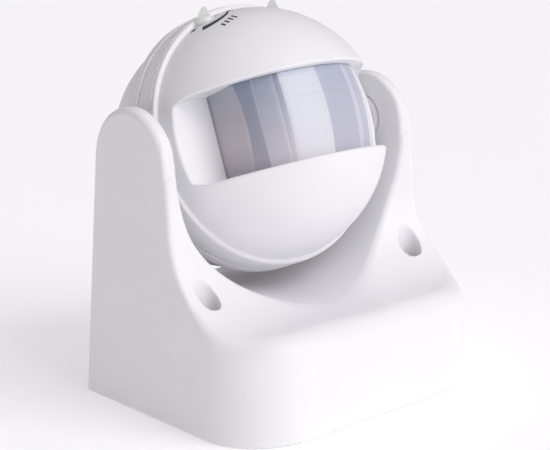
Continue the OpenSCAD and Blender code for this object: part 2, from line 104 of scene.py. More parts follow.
# Bead along the seam
BEAD_FRONT, BEAD_BACK = SEAM_Y - 1.1, SEAM_Y + 0.25
BEAD_FOOT_R, BEAD_HEIGHT, BEAD_DEPTH = HEAD_R - 0.1, 1.1, 0.6

# Lens: a barrel cut straight at both ends, with upright facets and one level border
LENS_R, LENS_BARREL_R, LENS_HALF_W, LENS_HALF_H, LENS_T = 28.8, 45.0, 19.3, 10.42, 0.8
FACETS = (-19.3, -16.5, -11.9, -10.3, 0.0, 10.3, 11.9, 16.5, 19.3)
LENS_ROW = 4.9
CREASE_W, CREASE_H = 0.35, 0.10

# Knobs: place, disc, shaft and the grip that stands across the disc
KNOB_X, KNOB_Y, KNOB_R = 10.95, -4.3, 2.9
KNOB_FLOOR, KNOB_WELL_R, KNOB_TURN = 28.2, 3.3, -39.0
KNOB_BOSS_R, KNOB_BOSS_Z = 4.6, 25.6
KNOB_DISC_Z, KNOB_DISC_H = KNOB_FLOOR + 0.7, 1.9
SHAFT_R, SHAFT_Z, SHAFT_HOLE_R, SHAFT_HOLE_Z = 1.5, 19.8, 1.78, 15.0
GRIP_SUNK, GRIP_H = 0.4, 2.85

# Printed marks
ARC_R, ARC_THIN, ARC_THICK = 6.2, 0.5, 2.0
BAR_HALF_W, BAR_PITCH, BAR_STEP = 0.28, 1.35, 0.25
BAR_LOW_Y, BAR_HIGH_Y = KNOB_Y - 10.2, KNOB_Y - 8.8
INK_LIFT, INK_T = 0.035, 0.05

# Grid pitches of the casings, and the margin round them
YOKE_PITCH, FRONT_PITCH, REAR_PITCH = 0.69, 0.42, 0.64
MARGIN = 1.0

HEAD_FRAME = (
    Matrix.Translation(Vector(PIVOT) * MM)
    @ Matrix.Rotation(math.radians(-TILT), 4, "X")
)


# ---------- meshes from distance fields ----------

def round_meet(a, b, r):
    """Where both a and b are negative, with the outside edge between them rounded to r."""
    return np.minimum(-r, np.maximum(a, b)) + np.hypot(np.maximum(a + r, 0), np.maximum(b + r, 0))


def round_join(a, b, r):
    """Where a or b is negative, with the inside corner between them filled to r."""
    return np.maximum(r, np.minimum(a, b)) - np.hypot(np.maximum(r - a, 0), np.maximum(r - b, 0))


def round_cut(a, b, r):
    """a with b taken out of it, the cut's edge rounded to r."""
    return round_meet(a, -b, r)


def field_gradient(field, p, step=0.02):
    g = np.empty_like(p)
    for k in range(3):
        d = np.zeros(3)
        d[k] = step
        g[:, k] = (field(*(p + d).T) - field(*(p - d).T)) / (2 * step)
    return g


def settle(field, p, rounds):
    """Moves points onto the field's zero surface."""
    for _ in range(rounds):
        g = field_gradient(field, p)
        size = np.maximum((g * g).sum(1), 0.2)
        move = -(field(*p.T) / size)[:, None] * g
        far = np.linalg.norm(move, axis=1, keepdims=True)
        p = p + move * np.minimum(1.0, 0.6 / np.maximum(far, 1e-9))
    return p


def graded(a, b, pitch, fine):
    """Grid positions from a to b, twice as close inside each of the fine spans."""
    marks = [a]
    while marks[-1] < b:
        close = any(lo <= marks[-1] < hi for lo, hi in fine)
        marks.append(marks[-1] + (0.5 * pitch if close else pitch))
    return np.array(marks)


def surface(field, low, high, pitch, fine):
    """Vertices and quads of the field's zero surface: one vertex in each grid cell that it crosses."""
    axes = [graded(a, b, pitch, spans) for a, b, spans in zip(low, high, fine)]
    x, y, z = np.meshgrid(*axes, indexing="ij", sparse=True)
    v = np.broadcast_to(field(x, y, z), [len(a) for a in axes]).astype(np.float32)
    inside = v < 0
    corners = [(i, j, k) for i in (0, 1) for j in (0, 1) for k in (0, 1)]
    nx, ny, nz = v.shape

    def part(array, c):
        return array[c[0]:nx - 1 + c[0], c[1]:ny - 1 + c[1], c[2]:nz - 1 + c[2]]

    count = sum(part(inside, c).astype(np.int8) for c in corners)
    cells = np.argwhere((count > 0) & (count < 8))
    index = -np.ones(count.shape, np.int64)
    index[tuple(cells.T)] = np.arange(len(cells))
    value = np.stack([v[tuple((cells + c).T)] for c in corners], 1)
    total = np.zeros((len(cells), 3))
    hits = np.zeros(len(cells))
    for a, ca in enumerate(corners):
        for b, cb in enumerate(corners):
            if b <= a or sum(abs(m - n) for m, n in zip(ca, cb)) != 1:
                continue
            va, vb = value[:, a], value[:, b]
            cross = (va < 0) != (vb < 0)
            t = np.where(cross, va / np.where(cross, va - vb, 1), 0)
            spot = np.array(ca) + t[:, None] * (np.array(cb) - np.array(ca))
            total += spot * cross[:, None]
            hits += cross
    spots = cells + total / hits[:, None]
    verts = np.stack([np.interp(spots[:, k], np.arange(len(a)), a) for k, a in enumerate(axes)], 1)
    quads = []
    for axis in range(3):
        u, w = [(1, 2), (2, 0), (0, 1)][axis]
        end = [slice(None)] * 3
        end[axis] = slice(0, -1)
        start = [slice(None)] * 3
        start[axis] = slice(1, None)
        flips = np.argwhere(inside[tuple(end)] != inside[tuple(start)])
        flips = flips[(flips[:, u] > 0) & (flips[:, w] > 0)]
        flips = flips[(flips[:, u] < v.shape[u] - 1) & (flips[:, w] < v.shape[w] - 1)]
        outward = inside[tuple(flips.T)]
        ring = []
        for du, dw in ((-1, -1), (0, -1), (0, 0), (-1, 0)):
            c = flips.copy()
            c[:, u] += du
            c[:, w] += dw
            ring.append(index[tuple(c.T)])
        ring = np.stack(ring, 1)
        ring[~outward] = ring[~outward][:, ::-1]
        quads.append(ring)
    return verts, np.concatenate(quads)


def relax(field, verts, quads, rounds):
    """Evens the quads out along the surface without leaving it."""
    edges = np.concatenate([quads[:, [i, (i + 1) % 4]] for i in range(4)])
    for _ in range(rounds):
        total = np.zeros_like(verts)
        count = np.zeros(len(verts))
        for a, b in ((0, 1), (1, 0)):
            np.add.at(total, edges[:, a], verts[edges[:, b]])
            np.add.at(count, edges[:, a], 1)
        middle = total / count[:, None]
        verts = settle(field, verts + 0.5 * (middle - verts), 1)
    return verts


def mesh_object(name, verts, faces, normals=None, place=None):
    """A smooth-shaded object from millimetre vertices, set into the given frame."""
    mesh = bpy.data.meshes.new(name)
    mesh.from_pydata((np.asarray(verts, float) * MM).tolist(), [], [[int(i) for i in f] for f in faces])
    mesh.polygons.foreach_set("use_smooth", [True] * len(mesh.polygons))
    if place is not None:
        mesh.transform(place)
    if normals is not None:
        if place is not None:
            normals = np.asarray(normals) @ np.array(place.to_3x3().transposed())
        mesh.normals_split_custom_set_from_vertices([tuple(n) for n in normals])
    mesh.update()
    obj = bpy.data.objects.new(name, mesh)
    bpy.context.scene.collection.objects.link(obj)
    return obj


def moulded(name, field, low, high, pitch, place=None, fine=((), (), ())):
    """A closed shell with soft moulded edges, from a distance field."""
    verts, quads = surface(field, low, high, pitch, fine)
    verts = settle(field, verts, 2)
    verts = relax(field, verts, quads, 3)
    verts = settle(field, verts, 2)
    normals = field_gradient(field, verts)
    normals /= np.maximum(np.linalg.norm(normals, axis=1, keepdims=True), 1e-9)
    return mesh_object(name, verts, quads, normals, place)


def bevel_edges(obj, width, sharpest):
    """Rounds every edge that turns more than the given angle."""
    bevel = obj.modifiers.new("edges", "BEVEL")
    bevel.width = width * MM
    bevel.segments = 3
    bevel.limit_method = "ANGLE"
    bevel.angle_limit = math.radians(sharpest)


def around(centre, reach):
    """The span from reach below centre to reach above it."""
    return (centre - reach, centre + reach)


# ---------- the yoke ----------

DISH_R = (HALF_W ** 2 + DISH ** 2) / (2 * DISH)
DISH_Y = EAR_Y - EAR_R + DISH - DISH_R
BACK_LEN = math.sqrt((HALF_D - EAR_Y) ** 2 + EAR_Z ** 2 - EAR_R ** 2)
LEAN = math.atan2(HALF_D - EAR_Y, EAR_Z) - math.atan2(EAR_R, BACK_LEN)


def footprint(x, y, inset):
    """Plan of the base: round front corners, square back ones."""
    front = -HALF_D + inset - y
    side = np.abs(x) - HALF_W + inset
    return round_meet(round_meet(front, side, CORNER_R - inset), y - HALF_D + inset, BACK_EDGE)


def back_face(y, z):
    return (y - EAR_Y) * math.cos(LEAN) + (z - EAR_Z) * math.sin(LEAN) - EAR_R


def ear_side(y, z):
    """Side view of an ear: round top and leaning back edge. Towards the front the dish bounds it."""
    far = 60.0
    dy, dz = y - EAR_Y, z - EAR_Z
    angle = np.arctan2(dz, dy)
    round_top = (angle > LEAN) & (angle <= math.pi) & (dz > 0)
    return np.where(round_top, np.hypot(dy, dz) - EAR_R, np.maximum(back_face(y, z), -dy - EAR_R - far))


def yoke_outside(x, y, z):
    """The outer form: the dish sweeps up from the seat to the ears."""
    dished = DISH_R - np.hypot(x, y - DISH_Y)
    seat = round_join(z - SEAT_Z, dished, FLARE_R)
    forward = np.clip((EDGE_FROM_Y - y) / (EDGE_FROM_Y - EDGE_TO_Y), 0, 1)
    edge = EAR_EDGE + (FRONT_EDGE - EAR_EDGE) * forward * forward * (3 - 2 * forward)
    outside = round_meet(seat, ear_side(y, z), SEAT_EDGE)
    outside = round_meet(outside, footprint(x, y, 0.0), edge)
    return round_meet(outside, -z, FOOT_EDGE)


def yoke_hollow(x, y, z):
    """The chamber, with a wider ledge for the plate at its mouth and the screw columns standing in it."""
    ledge = np.maximum(footprint(x, y, LEDGE_WALL), z - LEDGE_Z)
    chamber = np.maximum(footprint(x, y, BASE_WALL), z - CHAMBER_Z)
    chamber = np.maximum(chamber, back_face(y + BACK_WALL, z))
    column = np.maximum(np.hypot(np.abs(x) - WELL_X, y - WELL_Y) - COLUMN_R, COLUMN_Z - z)
    return np.minimum(ledge, np.maximum(chamber, -column))


def yoke_field(x, y, z):
    ax = np.abs(x)
    channel = np.where(z > CHANNEL_Z, ax - HALF_GAP, np.hypot(x, z - CHANNEL_Z) - HALF_GAP)
    solid = round_cut(yoke_outside(x, y, z), channel, CHANNEL_EDGE)
    well = np.maximum(np.hypot(ax - WELL_X, y - WELL_Y) - WELL_R, WELL_Z - z)
    solid = round_cut(solid, well, WELL_EDGE)
    pivot = np.hypot(y - PIVOT[1], z - PIVOT[2])
    pocket = np.minimum(np.maximum(pivot - BUSH_R, ax - BUSH_X), np.maximum(pivot - PAD_R, ax - HALF_GAP))
    solid = np.maximum(solid, -np.maximum(pocket, PAD_X - ax))
    return np.maximum(solid, -yoke_hollow(x, y, z))


def yoke_piece():
    rim = WELL_R + 1.0
    fine = ((around(-WELL_X, rim), around(WELL_X, rim)), (around(WELL_Y, rim),), ())
    low = (-HALF_W - MARGIN, -HALF_D - MARGIN, -MARGIN)
    high = (HALF_W + MARGIN, HALF_D + MARGIN, EAR_Z + EAR_R + MARGIN)
    return moulded("yoke_casing", yoke_field, low, high, YOKE_PITCH, fine=fine)


# ---------- the head ----------

def knob_axis(x, y):
    """Distance from the axis of the nearer knob."""
    return np.hypot(np.abs(x) - KNOB_X, y - KNOB_Y)


def knob_wells(x, y, z):
    return np.maximum(knob_axis(x, y) - KNOB_WELL_R, KNOB_FLOOR - z)


def knob_bosses(x, y, z):
    return np.maximum(knob_axis(x, y) - KNOB_BOSS_R, KNOB_BOSS_Z - z)


def slot_height(y, z, back, half):
    """Distance outside the lens slot: a level jaw below, a brow above that rises to the front."""
    return np.maximum(z - half - BROW_RISE * (back - y), -half - z)


def front_outside(x, y, z, ball):
    """The ball with the lens slot sunk into it."""
    mouth = np.sqrt(HEAD_R ** 2 - BEZEL_Y ** 2) + 0.1
    recess = round_meet(slot_height(y, z, BEZEL_Y, BAND_H), np.hypot(x, z) - mouth, SLOT_END_R)
    recess = round_meet(recess, y - BEZEL_Y, SLOT_FOOT_R)
    return round_cut(ball - HEAD_R, recess, LIP_R)


def front_field(x, y, z):
    ax = np.abs(x)
    ball = np.sqrt(x * x + y * y + z * z)
    bosses = knob_bosses(x, y, z)
    behind = np.maximum(y - BEZEL_Y - SHELL_T, slot_height(y, z, BEZEL_Y + SHELL_T, BAND_H + SHELL_T))
    void = np.maximum(ball - HEAD_R + SHELL_T, -behind)
    void = np.maximum(void, -bosses)
    solid = np.maximum(front_outside(x, y, z, ball), -void)
    floor = np.maximum(np.maximum(bosses, z - KNOB_FLOOR - 0.05), ball - HEAD_R + 0.3)
    solid = np.maximum(np.minimum(solid, floor), y - SEAM_Y)
    window = np.maximum(ax - LENS_HALF_W - 0.06, slot_height(y, z, BEZEL_Y, BAND_H - 0.02))
    window = np.maximum(window, np.maximum(y - SEAM_Y + 1.0, BEZEL_Y - 0.5 - y))
    solid = round_cut(solid, window, HOLE_EDGE)
    solid = round_cut(solid, knob_wells(x, y, z), HOLE_EDGE)
    solid = np.maximum(solid, -np.maximum(knob_axis(x, y) - SHAFT_HOLE_R, SHAFT_HOLE_Z - z))
    stub = np.hypot(y, z) - STUB_R - 0.1
    return np.maximum(solid, -np.maximum(stub, STUB_BORE_X - ax))


def front_piece():
    reach = HEAD_R + MARGIN
    return moulded("front_dome", front_field, (-reach, -reach, -reach), (reach, SEAM_Y + MARGIN, reach),
                   FRONT_PITCH, HEAD_FRAME)


def cup(x, y, z, inset):
    """The round cup: a tube closed by a larger ball, the edge between them rounded."""
    cap = np.sqrt(x * x + (y - CAP_Y) ** 2 + z * z)
    return round_meet(np.hypot(x, z) - TUBE_R + inset, cap - CAP_R + inset, CUP_EDGE)


def rear_outside(x, y, z):
    """A band beside the seam, a raised rib behind it, and the cup."""
    rho = np.hypot(x, z)
    band = round_meet(rho - BAND_R, y - BAND_Y, RING_EDGE)
    rib = round_meet(round_meet(rho - RIB_R, y - RIB_Y, RIB_EDGE), RIB_FRONT - y, RING_EDGE)
    groove = np.maximum(rho - GROOVE_R, y - RIB_Y)
    tube = round_join(groove, np.maximum(cup(x, y, z, 0.0), CUP_FRONT - y), CUP_FILLET)
    return np.minimum(np.minimum(band, rib), tube)


def rear_field(x, y, z):
    ax = np.abs(x)
    outside = rear_outside(x, y, z)
    pivot = np.hypot(y, z)
    pad = np.maximum(pivot - PAD_R, np.maximum(ax - PAD_X, STUB_ROOT_X - ax))
    solid = np.maximum(outside, -cup(x, y, z, SHELL_T))
    solid = round_meet(np.minimum(solid, pad), SEAM_Y - y, RING_EDGE)
    stub = np.maximum(pivot - STUB_R, np.maximum(ax - STUB_X, STUB_ROOT_X - ax))
    solid = np.minimum(solid, stub)
    solid = np.maximum(solid, -np.maximum(pivot - STUB_BORE_R, STUB_BORE_X - ax))
    screws = np.minimum(np.hypot(ax - SCREW_X, z - SCREW_LOW_Z), np.hypot(x, z - SCREW_TOP_Z))
    bosses = np.maximum(np.maximum(screws - SCREW_BOSS_R, outside + 0.5), SCREW_BOSS_Y - y)
    solid = np.minimum(solid, bosses)
    solid = round_cut(solid, np.maximum(screws - SCREW_WELL_R, SCREW_WELL_Y - y), SCREW_WELL_EDGE)
    return round_cut(solid, knob_wells(x, y, z), HOLE_EDGE)


def rear_piece():
    rim = SCREW_WELL_R + 0.9
    across = (around(-SCREW_X, rim), around(0.0, rim), around(SCREW_X, rim))
    fine = (across, (), (around(SCREW_LOW_Z, rim), around(SCREW_TOP_Z, rim)))
    wide, tall = STUB_X + MARGIN, RIB_R + 1.2
    low = (-wide, CUP_FRONT - 0.5, -tall)
    high = (wide, CAP_Y + CAP_R + MARGIN, tall)
    return moulded("rear_dome", rear_field, low, high, REAR_PITCH, HEAD_FRAME, fine)


def seam_bead():
    """A moulded ring along the seam: half-round on top, its foot sunk into the shell."""
    half, middle = (BEAD_BACK - BEAD_FRONT) / 2, (BEAD_BACK + BEAD_FRONT) / 2
    crown = half * 0.6
    crest = BEAD_FOOT_R + BEAD_HEIGHT - crown
    foot = BEAD_FOOT_R - BEAD_DEPTH
    arc, segments = 12, 256
    profile = [(foot, BEAD_BACK), (foot, BEAD_FRONT), (BEAD_FOOT_R, BEAD_FRONT)]
    for k in range(1, arc):
        a = math.pi * k / arc
        profile.append((crest + crown * math.sin(a), middle - half * math.cos(a)))
    profile.append((BEAD_FOOT_R, BEAD_BACK))
    verts, faces = [], []
    n = len(profile)
    for i in range(segments):
        a = 2 * math.pi * i / segments
        verts += [(r * math.cos(a), y, r * math.sin(a)) for r, y in profile]
    for i in range(segments):
        here, there = i * n, ((i + 1) % segments) * n
        for j in range(n):
            k = (j + 1) % n
            faces.append((here + j, here + k, there + k, there + j))
    return mesh_object("seam_bead", verts, faces, None, HEAD_FRAME)


# ---------- the lens ----------

def lens_radius(z):
    """The lens is a barrel about its upright axis: its radius falls off up and down from the middle."""
    return LENS_R - z * z / (2 * LENS_BARREL_R)


def facet_marks(z):
    """Where the facet borders lie at height z: the inner ones follow the barrel, the ends are straight."""
    scale = lens_radius(z) / LENS_R
    return [x if abs(x) == LENS_HALF_W else x * scale for x in FACETS]


def lens_front(x, z, inset, creased):
    """Depth of the lens's face at x, z, with a shallow crease along each border where asked for."""
    y = -math.sqrt((lens_radius(z) - inset) ** 2 - x * x)
    if not creased:
        return y
    crease = max(1 - abs(x - line) / CREASE_W for line in facet_marks(z)[1:-1])
    crease = max(crease, 1 - abs(z - LENS_ROW) / CREASE_W, 0.0)
    return y + CREASE_H * crease


def spread(marks, pitch):
    """Grid lines through every mark, with extra ones close beside it."""
    near, beside = 0.18, 0.36
    lines = set()
    for a, b in zip(marks[:-1], marks[1:]):
        between = b - a - 2 * beside
        n = max(1, round(between / pitch))
        spots = [a, a + near, a + beside, b - beside, b - near, b]
        spots += [a + beside + between * i / n for i in range(n + 1)]
        lines.update(round(v, 4) for v in spots)
    return sorted(lines)


def lens_sheet(xs, zs, inset, creased):
    """Points of one face of the lens, column by column; its top edge rises with the brow."""
    kx, kz = 1 - inset / LENS_HALF_W, 1 - inset / LENS_HALF_H
    points = []
    for x in xs:
        for z in zs:
            v = z * kz
            u = float(np.interp(x, FACETS, facet_marks(v))) * kx
            reach = BEZEL_Y - lens_front(u, v, inset, False)
            v += BROW_RISE * reach * max(0.0, (z - LENS_ROW) / (LENS_HALF_H - LENS_ROW))
            points.append((u, lens_front(u, v, inset, creased), v))
    return points


def sheet_quads(base, nx, nz):
    quads = []
    for i in range(nx - 1):
        for j in range(nz - 1):
            a, b = base + i * nz + j, base + (i + 1) * nz + j
            quads.append([a, b, b + 1, a + 1])
    return quads


def sheet_rim(base, nx, nz):
    """The sheet's border, once round."""
    rim = [i * nz for i in range(nx)]
    rim += [(nx - 1) * nz + j for j in range(1, nz)]
    rim += [i * nz + nz - 1 for i in range(nx - 2, -1, -1)]
    rim += list(range(nz - 2, 0, -1))
    return [base + r for r in rim]


def skirt_rows(verts, rim, back, count=5):
    """Rows of new vertices from the rim straight back to the depth back, after the rim itself."""
    rows = [rim]
    for k in range(1, count + 1):
        base = len(verts)
        for r in rim:
            x, y, z = verts[r]
            verts.append((x, y + (back - y) * k / count, z))
        rows.append([base + i for i in range(len(rim))])
    return rows


def strip(a, b):
    """Quads that join two closed rows."""
    n = len(a)
    return [[a[i], b[i], b[(i + 1) % n], a[(i + 1) % n]] for i in range(n)]


def facing(quads, outward):
    return quads if outward else [q[::-1] for q in quads]


def lens_piece():
    """A thin closed shell: the faceted face with a skirt behind its rim, and the same again inside."""
    pitch = 0.8
    xs = spread(FACETS, pitch)
    zs = spread((-LENS_HALF_H, LENS_ROW, LENS_HALF_H), pitch)
    back = BEZEL_Y + SHELL_T + 0.9
    verts, faces, rims, ends = [], [], [], []
    for inset, outward in ((0.0, True), (LENS_T, False)):
        base = len(verts)
        verts += lens_sheet(xs, zs, inset, outward)
        faces += facing(sheet_quads(base, len(xs), len(zs)), outward)
        rims.append((sheet_rim(base, len(xs), len(zs)), outward))
    for rim, outward in rims:
        rows = skirt_rows(verts, rim, back)
        for a, b in zip(rows[:-1], rows[1:]):
            faces += facing(strip(a, b), outward)
        ends.append(rows[-1])
    faces += strip(*ends)
    obj = mesh_object("lens_window", verts, faces, None, HEAD_FRAME)
    bevel_edges(obj, 0.35, 50)
    return obj


# ---------- knobs ----------

def knob_disc(verts, faces, top):
    """Round disc with a soft edge and a shallow face, on a shaft."""
    segments = 72
    profile = [(SHAFT_R, SHAFT_Z), (SHAFT_R, KNOB_DISC_Z), (KNOB_R - 0.25, KNOB_DISC_Z),
               (KNOB_R, KNOB_DISC_Z + 0.3), (KNOB_R, top - 0.5), (KNOB_R - 0.15, top - 0.15),
               (KNOB_R - 0.5, top), (KNOB_R - 0.9, top - 0.08)]
    for r, z in profile:
        for i in range(segments):
            a = 2 * math.pi * i / segments
            verts.append((r * math.cos(a), r * math.sin(a), z))
    for k in range(len(profile) - 1):
        here, above = k * segments, (k + 1) * segments
        for i in range(segments):
            j = (i + 1) % segments
            faces.append((here + i, here + j, above + j, above + i))
    last = (len(profile) - 1) * segments
    faces.append(tuple(range(segments))[::-1])
    faces.append(tuple(range(last, last + segments)))


def knob_grip(verts, faces, top):
    """Tapered grip across the disc: one end slopes, the other stands almost upright."""
    base = len(verts)
    turn = math.radians(KNOB_TURN)
    c, s = math.cos(turn), math.sin(turn)
    levels = (
        (-2.0, 2.0, 0.65, top - GRIP_SUNK),
        (-1.9, 1.95, 0.62, top + 0.2),
        (0.3, 1.4, 0.5, top + GRIP_H),
    )
    for left, right, t, z in levels:
        for w, d in ((left, -t), (right, -t), (right, t), (left, t)):
            verts.append((w * c - d * s, w * s + d * c, z))
    for k in range(len(levels) - 1):
        a = base + 4 * k
        for i in range(4):
            j = (i + 1) % 4
            faces.append((a + i, a + j, a + 4 + j, a + 4 + i))
    faces.append((base + 3, base + 2, base + 1, base))
    faces.append(tuple(base + 8 + i for i in range(4)))


def knob_piece(name, side):
    """One knob, flat-shaded with bevelled edges; side is -1 for the left one and 1 for the right one."""
    verts, faces = [], []
    top = KNOB_DISC_Z + KNOB_DISC_H
    knob_disc(verts, faces, top)
    knob_grip(verts, faces, top)
    mesh = bpy.data.meshes.new(name)
    mesh.from_pydata([(x * MM, y * MM, z * MM) for x, y, z in verts], [], faces)
    mesh.transform(HEAD_FRAME @ Matrix.Translation(Vector((side * KNOB_X, KNOB_Y, 0)) * MM))
    obj = bpy.data.objects.new(name, mesh)
    bpy.context.scene.collection.objects.link(obj)
    bevel_edges(obj, 0.22, 35)
    return obj


# ---------- printed marks ----------

def on_dome(x, y):
    r = HEAD_R + INK_LIFT
    return (x, y, math.sqrt(r * r - x * x - y * y))


def printed_band(verts, faces, centre, start, end, width0, width1):
    """A thin band of ink on the dome, tapering along an arc about a knob."""
    base = len(verts)
    steps = 40
    for i in range(steps + 1):
        t = i / steps
        a = math.radians(start + (end - start) * t)
        half = (width0 + (width1 - width0) * t) / 2
        for r in (ARC_R - half, ARC_R, ARC_R + half):
            verts.append(on_dome(centre[0] + r * math.cos(a), centre[1] + r * math.sin(a)))
    for i in range(steps):
        for k in range(2):
            a = base + 3 * i + k
            faces.append((a, a + 1, a + 4, a + 3))


def printed_dot(verts, faces, centre, radius):
    base = len(verts)
    steps = 36
    verts.append(on_dome(*centre))
    for i in range(steps):
        a = 2 * math.pi * i / steps
        verts.append(on_dome(centre[0] + radius * math.cos(a), centre[1] + radius * math.sin(a)))
    for i in range(steps):
        faces.append((base, base + 1 + i, base + 1 + (i + 1) % steps))


def printed_sun(verts, faces, centre, radius):
    """A dot with eight short rays."""
    printed_dot(verts, faces, centre, radius)
    rays, inner, outer, half = 8, radius * 1.35, radius * 2.0, 0.09
    for k in range(rays):
        a = 2 * math.pi * k / rays
        c, s = math.cos(a), math.sin(a)
        base = len(verts)
        for r, d in ((inner, -half), (inner, half), (outer, half), (outer, -half)):
            verts.append(on_dome(centre[0] + r * c - d * s, centre[1] + r * s + d * c))
        faces.append((base, base + 3, base + 2, base + 1))


def printed_moon(verts, faces, centre, radius):
    """A crescent between two arcs, the inner one smaller and set to one side."""
    base = len(verts)
    steps = 36
    hollow, shift = radius * 0.80, 0.66
    outer = np.radians(np.linspace(50, 310, steps))
    inner = np.radians(np.linspace(72, 288, steps))
    for a, b in zip(outer, inner):
        verts.append(on_dome(centre[0] + radius * math.cos(a), centre[1] + radius * math.sin(a)))
        verts.append(on_dome(centre[0] + shift + hollow * math.cos(b), centre[1] + hollow * math.sin(b)))
    for i in range(steps - 1):
        a = base + 2 * i
        faces.append((a, a + 2, a + 3, a + 1))


def printed_bars(verts, faces, first_x):
    """Four bars side by side, each a little longer than the one before."""
    for k in range(4):
        base = len(verts)
        x = first_x + BAR_PITCH * k
        for bar_x in (x - BAR_HALF_W, x + BAR_HALF_W):
            verts.append(on_dome(bar_x, BAR_LOW_Y))
            verts.append(on_dome(bar_x, BAR_HIGH_Y + BAR_STEP * k))
        faces.append((base, base + 2, base + 3, base + 1))


def printed_marks():
    """A tapered arc and four bars at each knob, with a sun and a moon at one and two dots at the other."""
    verts, faces = [], []
    printed_band(verts, faces, (-KNOB_X, KNOB_Y), 226, 322, ARC_THICK, ARC_THIN)
    printed_sun(verts, faces, (-KNOB_X - 4.9, KNOB_Y - 1.5), 0.5)
    printed_moon(verts, faces, (-KNOB_X + 6.0, KNOB_Y - 3.0), 0.85)
    printed_bars(verts, faces, -KNOB_X - 1.6)
    printed_band(verts, faces, (KNOB_X, KNOB_Y), 222, 318, ARC_THIN, ARC_THICK)
    printed_dot(verts, faces, (KNOB_X - 6.0, KNOB_Y - 3.0), 0.35)
    printed_dot(verts, faces, (KNOB_X + 6.1, KNOB_Y - 1.6), 0.6)
    printed_bars(verts, faces, KNOB_X - 2.0)
    obj = mesh_object("dial_marks", verts, faces, None, HEAD_FRAME)
    thick = obj.modifiers.new("ink", "SOLIDIFY")
    thick.thickness = INK_T * MM
    thick.offset = -1
    return obj


# ---------- materials ----------

def nodes_of(name):
    mat = bpy.data.materials.new(name)
    mat.use_nodes = True
    tree = mat.node_tree
    return mat, tree, tree.nodes["Principled BSDF"]


def noise(tree, scale, detail=4.0, rough=0.6):
    coords = tree.nodes.new("ShaderNodeTexCoord")
    node = tree.nodes.new("ShaderNodeTexNoise")
    node.inputs["Scale"].default_value = scale
    node.inputs["Detail"].default_value = detail
    node.inputs["Roughness"].default_value = rough
    tree.links.new(coords.outputs["Object"], node.inputs["Vector"])
    return node


def ramp(tree, source, stops, kind="LINEAR"):
    node = tree.nodes.new("ShaderNodeValToRGB")
    node.color_ramp.interpolation = kind
    elements = node.color_ramp.elements
    while len(elements) < len(stops):
        elements.new(0.5)
    for e, (pos, colour) in zip(elements, stops):
        e.position = pos
        e.color = (*colour, 1)
    tree.links.new(source, node.inputs["Fac"])
    return node


def remap(tree, source, low, high):
    """From 0 to 1 into low to high."""
    node = tree.nodes.new("ShaderNodeMapRange")
    node.inputs["To Min"].default_value = low
    node.inputs["To Max"].default_value = high
    tree.links.new(source, node.inputs["Value"])
    return node


def share(tree, source, reach):
    """From -reach to reach into 0 to 1."""
    node = remap(tree, source, 0.0, 1.0)
    node.inputs["From Min"].default_value = -reach
    node.inputs["From Max"].default_value = reach
    return node


def blend(tree, factor, a, b):
    node = tree.nodes.new("ShaderNodeMix")
    node.data_type = "RGBA"
    tree.links.new(factor, node.inputs["Factor"])
    tree.links.new(a, node.inputs["A"])
    tree.links.new(b, node.inputs["B"])
    return node


def bump(tree, source, shader, strength, height):
    """A relief of the given height in microns."""
    node = tree.nodes.new("ShaderNodeBump")
    node.inputs["Strength"].default_value = strength
    node.inputs["Distance"].default_value = height * MICRON
    tree.links.new(source, node.inputs["Height"])
    tree.links.new(node.outputs["Normal"], shader.inputs["Normal"])


def plastic(name, colour, rough, grain=20, mottle=0.015, coat=0.0, metal=0.0):
    """A faint cloudiness in the colour, a fine grain in microns, and handling marks in the gloss."""
    mat, tree, shader = nodes_of(name)
    cloud = noise(tree, 45)
    dark = tuple(max(0.0, c * (1 - mottle)) for c in colour)
    light = tuple(min(1.0, c * (1 + mottle)) for c in colour)
    tint = ramp(tree, cloud.outputs["Fac"], [(0.3, dark), (0.7, light)])
    tree.links.new(tint.outputs["Color"], shader.inputs["Base Color"])
    smear = noise(tree, 140, 6, 0.7)
    gloss = remap(tree, smear.outputs["Fac"], rough - 0.05, rough + 0.05)
    tree.links.new(gloss.outputs["Result"], shader.inputs["Roughness"])
    grit = noise(tree, 2600, 3, 0.5)
    bump(tree, grit.outputs["Fac"], shader, 0.35, grain)
    shader.inputs["Coat Weight"].default_value = coat
    shader.inputs["Coat Roughness"].default_value = 0.15
    shader.inputs["Metallic"].default_value = metal
    return mat


# Painted light and shade of the facets from left to right, at the foot and at the top of the lens: each
# facet's painted brightness, with painted shade to the left and under the brow
FOOT_FACET_SHADING = ((0.36, 0.34, 0.39), (0.58, 0.54, 0.60), (0.62, 0.58, 0.64), (0.76, 0.75, 0.80),
              (0.53, 0.52, 0.61), (0.64, 0.63, 0.70), (0.54, 0.53, 0.62), (0.78, 0.78, 0.82))
TOP_FACET_SHADING = ((0.23, 0.26, 0.35), (0.30, 0.33, 0.43), (0.25, 0.28, 0.38), (0.67, 0.70, 0.79),
             (0.48, 0.50, 0.62), (0.60, 0.61, 0.70), (0.52, 0.53, 0.63), (0.78, 0.78, 0.83))
# Painted shade on the cut ends, from the foot up, where the side walls face away from the light
END_WALL_SHADE = ((0.0, (0.50, 0.46, 0.51)), (0.35, (0.60, 0.55, 0.60)), (1.0, (0.41, 0.43, 0.49)))
LENS_REACH = math.radians(50)


def head_axes(tree, coords):
    """X, Y and Z of a point in the head's own frame, in metres."""
    level = tree.nodes.new("ShaderNodeMapping")
    level.vector_type = "TEXTURE"
    level.inputs["Location"].default_value = Vector(PIVOT) * MM
    level.inputs["Rotation"].default_value = (math.radians(-TILT), 0, 0)
    tree.links.new(coords.outputs["Object"], level.inputs["Vector"])
    split = tree.nodes.new("ShaderNodeSeparateXYZ")
    tree.links.new(level.outputs["Vector"], split.inputs["Vector"])
    return split.outputs


